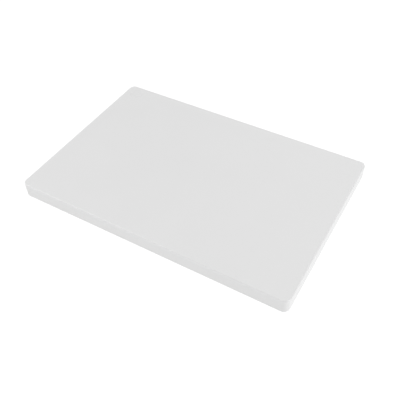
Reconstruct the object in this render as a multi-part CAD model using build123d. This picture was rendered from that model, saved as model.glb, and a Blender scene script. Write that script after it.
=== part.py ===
from build123d import *
import os

# Butcher's cutting board: one solid slab of white high-density polyethylene, the same on both faces.
# It is sawn to size, its four corners are rounded in plan, and the edges of both faces are routed round.
# Two plain rings, one inside the other, are engraved in one corner of the upper face.
#
# Millimetres. The origin is at the centre of the underside, +X runs along the length, +Y across the
# width towards the side with the rings, and +Z is up.

# Driving dimensions of the slab
LENGTH = 450.0
WIDTH = 300.0
THICKNESS = 25.0
CORNER_RADIUS = 10.0  # the four corners, in plan
EDGE_RADIUS = 2.0  # the edges round both faces

# Engraved corner rings, cut with a round-nosed tool
RING_RADII = (9.8, 4.8)  # to the middle of each groove
GROOVE_WIDTH = 2.4
GROOVE_DEPTH = 0.3
RING_INSET = 23.0  # centre of the rings to the end and to the side of the board


def slab():
    """The plain slab, with round corners in plan and round edges on both faces."""
    outline = RectangleRounded(LENGTH, WIDTH, CORNER_RADIUS)
    blank = extrude(outline, amount=THICKNESS)
    faces = blank.faces().sort_by(Axis.Z)
    rims = faces[0].edges() + faces[-1].edges()
    return fillet(rims, EDGE_RADIUS)


def ring_grooves():
    """The tool's sweep for each ring: a torus whose lowest stretch lies in the upper face."""
    tool_radius = (GROOVE_WIDTH**2 / 4 + GROOVE_DEPTH**2) / (2 * GROOVE_DEPTH)
    centre = Pos(
        -LENGTH / 2 + RING_INSET,
        WIDTH / 2 - RING_INSET,
        THICKNESS - GROOVE_DEPTH + tool_radius,
    )
    return [centre * Torus(radius, tool_radius) for radius in RING_RADII]


def board():
    """The finished board, as one solid."""
    body = slab()
    for groove in ring_grooves():
        body -= groove
    return body


os.makedirs("parts", exist_ok=True)
export_step(board(), "parts/board.step")
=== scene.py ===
import math

import bmesh
import bpy
from mathutils import Matrix, Vector, noise


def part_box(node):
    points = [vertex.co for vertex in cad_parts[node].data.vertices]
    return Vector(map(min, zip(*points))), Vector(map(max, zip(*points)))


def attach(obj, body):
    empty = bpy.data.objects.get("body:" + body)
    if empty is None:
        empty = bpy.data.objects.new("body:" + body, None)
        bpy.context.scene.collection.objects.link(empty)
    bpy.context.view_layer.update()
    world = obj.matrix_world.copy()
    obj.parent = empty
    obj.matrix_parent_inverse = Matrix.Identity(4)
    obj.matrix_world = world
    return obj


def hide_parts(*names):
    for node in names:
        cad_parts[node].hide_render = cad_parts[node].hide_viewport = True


# The looks of a butcher's cutting board: one slab of white high-density polyethylene. Metres and the
# CAD model's frame throughout: the origin is at the centre of the underside, +X is along the length.

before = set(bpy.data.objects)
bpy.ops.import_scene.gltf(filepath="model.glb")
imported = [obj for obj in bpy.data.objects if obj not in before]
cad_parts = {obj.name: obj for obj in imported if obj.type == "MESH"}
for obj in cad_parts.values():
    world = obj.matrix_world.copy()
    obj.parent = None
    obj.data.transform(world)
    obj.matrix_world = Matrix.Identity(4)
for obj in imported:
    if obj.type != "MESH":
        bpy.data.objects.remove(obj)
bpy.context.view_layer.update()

# ---- Camera ------------------------------------------------------------------------------------
# It looks down on the board from over its near right corner, and is turned a little about its own
# axis. The aim is where its middle points, measured from the origin across and up the view.
AZIMUTH = math.radians(31.68)
ELEVATION = math.radians(46.04)
ROLL = math.radians(-1.92)
DISTANCE = 0.8874
AIM_ACROSS = 0.0064
AIM_UP = -0.0248
LENS_MM = 50.07
SENSOR_MM = 36.0


def photograph_camera():
    """The scene's camera, at the photograph's viewing angle."""
    back = Vector((
        math.sin(AZIMUTH) * math.cos(ELEVATION),
        -math.cos(AZIMUTH) * math.cos(ELEVATION),
        math.sin(ELEVATION),
    ))
    level = Vector((math.cos(AZIMUTH), math.sin(AZIMUTH), 0.0))
    upright = back.cross(level)
    across = math.cos(ROLL) * level + math.sin(ROLL) * upright
    up = math.cos(ROLL) * upright - math.sin(ROLL) * level

    data = bpy.data.cameras.new("camera")
    data.lens = LENS_MM
    data.sensor_width = SENSOR_MM
    camera = bpy.data.objects.new("camera", data)
    bpy.context.scene.collection.objects.link(camera)
    camera.matrix_world = Matrix.Translation(
        DISTANCE * back + AIM_ACROSS * across + AIM_UP * up
    ) @ Matrix((across, up, back)).transposed().to_4x4()
    bpy.context.scene.camera = camera


photograph_camera()

# ---- The board's shape -------------------------------------------------------------------------
board_low, board_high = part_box("board")
LENGTH, WIDTH, THICKNESS = board_high - board_low
CORNER_RADIUS = 0.010
EDGE_RADIUS = 0.002

# The rings engraved in one corner of the upper face
RING_RADII = (0.0098, 0.0048)
GROOVE_WIDTH = 0.0024
GROOVE_DEPTH = 0.0003
RING_INSET = 0.023  # from the nearest two sides to the rings' centre

# How finely the mesh is divided
CELL = 0.005  # across the flat faces
ARC_STEPS = 14  # round each corner, in plan
FILLET_STEPS = 12  # round each edge
SIDE_STEPS = 6  # up the sides
RIM_STEPS = 4  # from an edge's fillet in to the flat grid
BLOCK_CELLS = 32  # along each side of the square block that holds the rings
GROOVE_STEPS = 12  # across each groove
LIP = 0.00015  # a support loop this far either side of a groove
EDGE_LIP = 2 * LIP  # a support loop this far in from each edge's fillet
RING_MARGIN = 4 * LIP  # from the outer groove out to the circle that is joined to the square
JOIN_STEPS = 5  # from the square in to that circle
CENTRE_STEPS = 3  # from the inner groove in to the cap at the centre
CAP_RATIO = 3  # how many times narrower the cap is than the space inside the inner groove
MERGE_DISTANCE = 1e-6  # vertices nearer than this become one
SLIVER_LENGTH = 1e-7  # edges shorter than this are dissolved

# The centres of the corners' arcs, and the square block that holds the rings
half_x, half_y = LENGTH / 2 - CORNER_RADIUS, WIDTH / 2 - CORNER_RADIUS
block = 2 * (RING_INSET - CORNER_RADIUS)
ring_centre = Vector((-LENGTH / 2 + RING_INSET, WIDTH / 2 - RING_INSET, THICKNESS))


def spaced(start, end, steps):
    """steps + 1 numbers from start to end, evenly spaced."""
    return [start + (end - start) * i / steps for i in range(steps + 1)]


# The grid lines of the flat faces, close together beside the rings
coarse_x = round((2 * half_x - block) / CELL)
coarse_y = round((2 * half_y - block) / CELL)
lines_x = spaced(-half_x, -half_x + block, BLOCK_CELLS)[:-1] + spaced(-half_x + block, half_x, coarse_x)
lines_y = spaced(-half_y, half_y - block, coarse_y)[:-1] + spaced(half_y - block, half_y, BLOCK_CELLS)


def outline(inset, z):
    """The points of the board's outline, anticlockwise, moved in by inset and at height z."""
    radius = CORNER_RADIUS - inset
    reach_x, reach_y = half_x + radius, half_y + radius
    sides = (
        [(x, -reach_y) for x in lines_x],
        [(reach_x, y) for y in lines_y],
        [(x, reach_y) for x in reversed(lines_x)],
        [(-reach_x, y) for y in reversed(lines_y)],
    )
    corners = ((half_x, -half_y), (half_x, half_y), (-half_x, half_y), (-half_x, -half_y))
    points = []
    for quarter, (side, (cx, cy)) in enumerate(zip(sides, corners)):
        points += side
        for step in range(1, ARC_STEPS):
            turn = (quarter - 1 + step / ARC_STEPS) * math.pi / 2
            points.append((cx + radius * math.cos(turn), cy + radius * math.sin(turn)))
    return [Vector((x, y, z)) for x, y in points]


def profile():
    """(inset, height) from the underside's flat, round the edges, to the upper face's flat."""
    rim = spaced(EDGE_RADIUS, CORNER_RADIUS, RIM_STEPS)
    rim.insert(1, EDGE_RADIUS + EDGE_LIP)
    turns = spaced(0, math.pi / 2, FILLET_STEPS)
    lower = [(EDGE_RADIUS * (1 - math.sin(turn)), EDGE_RADIUS * (1 - math.cos(turn))) for turn in turns]
    upper = [(inset, THICKNESS - z) for inset, z in reversed(lower)]
    heights = spaced(EDGE_RADIUS, THICKNESS - EDGE_RADIUS, SIDE_STEPS)
    return (
        [(inset, 0.0) for inset in reversed(rim)]
        + lower[1:]
        + [(0.0, z) for z in heights[1:-1]]
        + upper[:-1]
        + [(inset, THICKNESS) for inset in rim]
    )


def skin(bm, loops):
    """Quads between each closed loop of vertices and the next."""
    for inner, outer in zip(loops, loops[1:]):
        for i in range(len(inner)):
            bm.faces.new((inner[i - 1], inner[i], outer[i], outer[i - 1]))


def flat_grid(bm, z, upper):
    """A face's flat grid. The upper one leaves out the block that holds the rings."""
    rows = [[bm.verts.new((x, y, z)) for x in lines_x] for y in lines_y]
    for j in range(len(lines_y) - 1):
        for i in range(len(lines_x) - 1):
            if upper and i < BLOCK_CELLS and j >= coarse_y:
                continue
            corners = (rows[j][i], rows[j][i + 1], rows[j + 1][i + 1], rows[j + 1][i])
            bm.faces.new(corners if upper else reversed(corners))
    for row in rows:
        for vert in row:
            if not vert.link_faces:
                bm.verts.remove(vert)


def groove_drop(radius):
    """How far the upper face drops at this radius from the rings' centre."""
    # The radius of the round-ended cutter that leaves such a groove
    tool = (GROOVE_WIDTH**2 / 4 + GROOVE_DEPTH**2) / (2 * GROOVE_DEPTH)
    for ring in RING_RADII:
        off = abs(radius - ring)
        if off < GROOVE_WIDTH / 2:
            return math.sqrt(tool**2 - off**2) - (tool - GROOVE_DEPTH)
    return 0.0


def ring_patch(bm):
    """The square block of the upper face that holds the engraved rings."""
    half = block / 2
    edge = spaced(-half, half, BLOCK_CELLS)[:-1]
    square = (
        [(e, -half) for e in edge]
        + [(half, e) for e in edge]
        + [(-e, half) for e in edge]
        + [(-half, -e) for e in edge]
    )
    count = len(square)
    # The square's first point is its corner at five eighths of a turn
    turns = [(5 / 8 + i / count) * 2 * math.pi for i in range(count)]
    circle = [(math.cos(turn), math.sin(turn)) for turn in turns]
    outer = RING_RADII[0] + GROOVE_WIDTH / 2 + RING_MARGIN
    radii = [outer]
    for ring in RING_RADII:
        lip_out, lip_in = ring + GROOVE_WIDTH / 2, ring - GROOVE_WIDTH / 2
        radii += [lip_out + LIP] + spaced(lip_out, lip_in, GROOVE_STEPS) + [lip_in - LIP]
    radii += spaced(radii[-1], radii[-1] / CAP_RATIO, CENTRE_STEPS)[1:]

    loops = []
    for share in spaced(0, 1, JOIN_STEPS)[:-1]:
        loops.append([
            ring_centre + Vector((
                sx * (1 - share) + cx * outer * share,
                sy * (1 - share) + cy * outer * share,
                0,
            ))
            for (sx, sy), (cx, cy) in zip(square, circle)
        ])
    for radius in radii:
        drop = groove_drop(radius)
        loops.append([ring_centre + Vector((cx * radius, cy * radius, -drop)) for cx, cy in circle])
    made = [[bm.verts.new(point) for point in loop] for loop in loops]
    skin(bm, made)
    bm.faces.new(made[-1])


# Sheet that is planed or pressed flat still waves by a few hundredths of a millimetre
WAVE_LENGTH = 0.09
WAVE_HEIGHT = 0.00004
# Each surface's own place in the noise
UPPER_SEED = 3.7
LOWER_SEED = 11.2
SIDE_SEED = 23.9


def wave(point, seed):
    """A smooth wave from -WAVE_HEIGHT to WAVE_HEIGHT."""
    return WAVE_HEIGHT * noise.noise(point / WAVE_LENGTH + Vector((0, 0, seed)))


def wavy(bm):
    """Lets the faces and the sides depart a little from flat, with the underside clear of the ground."""
    for vert in bm.verts:
        x, y, z = vert.co
        share = z / THICKNESS
        upper = wave(Vector((x, y, 0)), UPPER_SEED)
        lower = WAVE_HEIGHT + wave(Vector((x, y, 0)), LOWER_SEED)
        vert.co.z += upper * share + lower * (1 - share)
        if abs(x) > half_x or abs(y) > half_y:
            outward = Vector((
                math.copysign(max(abs(x) - half_x, 0), x),
                math.copysign(max(abs(y) - half_y, 0), y),
                0,
            ))
            vert.co += outward / CORNER_RADIUS * wave(vert.co, SIDE_SEED)


def board_mesh():
    """The whole board as one closed mesh."""
    bm = bmesh.new()
    skin(bm, [[bm.verts.new(p) for p in outline(inset, z)] for inset, z in profile()])
    flat_grid(bm, 0.0, upper=False)
    flat_grid(bm, THICKNESS, upper=True)
    ring_patch(bm)
    bmesh.ops.remove_doubles(bm, verts=bm.verts, dist=MERGE_DISTANCE)
    bmesh.ops.dissolve_degenerate(bm, edges=bm.edges, dist=SLIVER_LENGTH)
    wavy(bm)
    bmesh.ops.recalc_face_normals(bm, faces=bm.faces)
    mesh = bpy.data.meshes.new("slab")
    bm.to_mesh(mesh)
    bm.free()
    mesh.shade_smooth()
    return mesh


# ---- Material ----------------------------------------------------------------------------------
IOR = 1.54
# The lowest and highest of the white's brightness, and of each surface's roughness
TONE = (0.858, 0.864)
FACE_ROUGHNESS = (0.40, 0.48)
SIDE_ROUGHNESS = (0.70, 0.80)
EDGE_ROUGHNESS = (0.18, 0.26)
# How high the marks on each surface stand
GRAIN_HEIGHT = 0.000022
CUT_HEIGHT = 0.000014
NICK_HEIGHT = 0.00003
# Each pattern of noise: its features to a metre, its detail, and its stretch, which is under 1
# along the axis where the features are long
GRAIN = (1100, 1.5, (1, 1, 1))
CUTS = (650, 2.0, (1, 1, 0.04))
NICKS = (900, 3.0, (0.012, 0.012, 1))
FACE_PATCHES = (28, 4.0, (1, 1, 1))
SIDE_PATCHES = (90, 3.0, (1, 1, 0.1))
EDGE_PATCHES = (120, 2.0, (1, 1, 1))
TONE_PATCHES = (14, 3.0, (1, 1, 1))
# The part of a noise's values that is used, all but a few or only the middle. The rest are cut flat
WIDE = (0.3, 0.7)
NARROW = (0.35, 0.65)
# How far the surface faces up or down where a side turns into an edge, and an edge into a face
SIDE_TO_EDGE = (0.03, 0.25)
EDGE_TO_FACE = (0.92, 0.99)


def polyethylene():
    """White high-density polyethylene. The sheet's faces are satin, with a fine pebble grain. The
    milled sides are more matt, with the cutter's upright marks and lengthwise lines from nicks in
    it. The routed edges are the smoothest."""
    material = bpy.data.materials.new("polyethylene")
    material.use_nodes = True
    tree = material.node_tree
    nodes, links = tree.nodes, tree.links
    shader = nodes["Principled BSDF"]
    shader.inputs["IOR"].default_value = IOR

    place = nodes.new("ShaderNodeTexCoord").outputs["Object"]

    def noise_at(scale, detail, stretch):
        """One of the patterns of noise above."""
        mapping = nodes.new("ShaderNodeMapping")
        mapping.inputs["Scale"].default_value = stretch
        links.new(place, mapping.inputs["Vector"])
        texture = nodes.new("ShaderNodeTexNoise")
        texture.inputs["Scale"].default_value = scale
        texture.inputs["Detail"].default_value = detail
        links.new(mapping.outputs[0], texture.inputs["Vector"])
        return texture.outputs["Fac"]

    def ranged(value, before, after=(0.0, 1.0)):
        """value, with the range before stretched to the range after."""
        ranger = nodes.new("ShaderNodeMapRange")
        ranger.inputs["From Min"].default_value, ranger.inputs["From Max"].default_value = before
        ranger.inputs["To Min"].default_value, ranger.inputs["To Max"].default_value = after
        links.new(value, ranger.inputs["Value"])
        return ranger.outputs["Result"]

    def mixed(share, first, second):
        """first where share is 0, and second where it is 1."""
        mix = nodes.new("ShaderNodeMix")
        mix.data_type = "FLOAT"
        for socket, value in (("Factor", share), ("A", first), ("B", second)):
            links.new(value, mix.inputs[socket])
        return mix.outputs["Result"]

    # How far the surface faces up or down: 0 on the sides and 1 on the two faces
    normal = nodes.new("ShaderNodeNewGeometry").outputs["Normal"]
    parts = nodes.new("ShaderNodeSeparateXYZ")
    links.new(normal, parts.inputs[0])
    upright = nodes.new("ShaderNodeMath")
    upright.operation = "ABSOLUTE"
    links.new(parts.outputs["Z"], upright.inputs[0])
    on_face = ranged(upright.outputs[0], EDGE_TO_FACE)
    on_edge = ranged(upright.outputs[0], SIDE_TO_EDGE)

    grain = ranged(noise_at(*GRAIN), WIDE, (0.0, GRAIN_HEIGHT))
    cuts = ranged(noise_at(*CUTS), WIDE, (0.0, CUT_HEIGHT))
    nicks = ranged(noise_at(*NICKS), NARROW, (0.0, NICK_HEIGHT))
    side = nodes.new("ShaderNodeMath")
    side.operation = "ADD"
    links.new(cuts, side.inputs[0])
    links.new(nicks, side.inputs[1])
    bump = nodes.new("ShaderNodeBump")
    bump.inputs["Distance"].default_value = 1.0  # so that heights are in metres
    links.new(mixed(on_face, side.outputs[0], grain), bump.inputs["Height"])
    links.new(bump.outputs["Normal"], shader.inputs["Normal"])

    face_rough = ranged(noise_at(*FACE_PATCHES), WIDE, FACE_ROUGHNESS)
    side_rough = ranged(noise_at(*SIDE_PATCHES), WIDE, SIDE_ROUGHNESS)
    edge_rough = ranged(noise_at(*EDGE_PATCHES), WIDE, EDGE_ROUGHNESS)
    off_face = mixed(on_edge, side_rough, edge_rough)
    links.new(mixed(on_face, off_face, face_rough), shader.inputs["Roughness"])

    tone = nodes.new("ShaderNodeMix")
    tone.data_type = "RGBA"
    links.new(ranged(noise_at(*TONE_PATCHES), WIDE), tone.inputs["Factor"])
    ends = [socket for socket in tone.inputs if socket.type == "RGBA"]
    for end, grey in zip(ends, TONE):
        end.default_value = (grey, grey, grey, 1.0)
    blend = [socket for socket in tone.outputs if socket.type == "RGBA"][0]
    links.new(blend, shader.inputs["Base Color"])
    return material


slab = bpy.data.objects.new("board_slab", board_mesh())
bpy.context.scene.collection.objects.link(slab)
slab.data.materials.append(polyethylene())
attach(slab, "root")
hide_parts("board")

# ---- Studio ------------------------------------------------------------------------------------
FLOOR_SIZE = 60.0
FLOOR_GLOW = 0.8  # the glow that lights the board
FLOOR_GREY = 0.12  # the share of the other light that it sends back
SURROUND = 0.48  # the even light from all round
LAMP_DISTANCE = 2.6
LAMP_SIZE = 2.4
# Each soft lamp's place in degrees, round the board (0 is the front, 90 the right) and above it,
# and its power in watts
LAMPS = {
    "right": (90, 27, 26.8),
    "back": (180, 27, 8.5),
    "left": (290, 42, 19.0),
    "front": (315, 27, 9.0),
}


def floor():
    """A plain light table, which lights the board's sides and looks white."""
    mesh = bpy.data.meshes.new("floor")
    half = FLOOR_SIZE / 2
    mesh.from_pydata(
        [(-half, -half, 0), (half, -half, 0), (half, half, 0), (-half, half, 0)], [], [(0, 1, 2, 3)]
    )
    table = bpy.data.objects.new("floor", mesh)
    bpy.context.scene.collection.objects.link(table)
    material = bpy.data.materials.new("light_table")
    material.use_nodes = True
    nodes, links = material.node_tree.nodes, material.node_tree.links
    shader = nodes["Principled BSDF"]
    shader.inputs["Base Color"].default_value = (FLOOR_GREY, FLOOR_GREY, FLOOR_GREY, 1)
    shader.inputs["Roughness"].default_value = 1.0
    shader.inputs["Specular IOR Level"].default_value = 0.0
    shader.inputs["Emission Color"].default_value = (1, 1, 1, 1)
    # The glow that the camera sees is 1, which is white
    glow = nodes.new("ShaderNodeMath")
    glow.operation = "MULTIPLY_ADD"
    glow.inputs[1].default_value = 1 - FLOOR_GLOW
    glow.inputs[2].default_value = FLOOR_GLOW
    links.new(nodes.new("ShaderNodeLightPath").outputs["Is Camera Ray"], glow.inputs[0])
    links.new(glow.outputs[0], shader.inputs["Emission Strength"])
    mesh.materials.append(material)


def surround():
    """Even light from all round, in front of a backdrop that looks white."""
    world = bpy.data.worlds.new("studio")
    bpy.context.scene.world = world
    world.use_nodes = True
    nodes, links = world.node_tree.nodes, world.node_tree.links
    even = nodes["Background"]
    backdrop = nodes.new("ShaderNodeBackground")
    either = nodes.new("ShaderNodeMixShader")
    even.inputs["Color"].default_value = (1, 1, 1, 1)
    even.inputs["Strength"].default_value = SURROUND
    backdrop.inputs["Color"].default_value = (1, 1, 1, 1)
    links.new(nodes.new("ShaderNodeLightPath").outputs["Is Camera Ray"], either.inputs[0])
    links.new(even.outputs[0], either.inputs[1])
    links.new(backdrop.outputs[0], either.inputs[2])
    links.new(either.outputs[0], nodes["World Output"].inputs["Surface"])


def lamp(name, around, above, watts):
    """A large round soft lamp, aimed at the board."""
    around, above = math.radians(around), math.radians(above)
    outward = Vector((
        math.sin(around) * math.cos(above),
        -math.cos(around) * math.cos(above),
        math.sin(above),
    ))
    data = bpy.data.lights.new(name, "AREA")
    data.shape = "DISK"
    data.size = LAMP_SIZE
    data.energy = watts
    light = bpy.data.objects.new(name, data)
    bpy.context.scene.collection.objects.link(light)
    light.location = LAMP_DISTANCE * outward
    light.rotation_mode = "QUATERNION"
    light.rotation_quaternion = outward.to_track_quat("Z", "Y")


floor()
surround()
for name, place in LAMPS.items():
    lamp(name, *place)
bpy.context.scene.view_settings.view_transform = "Standard"
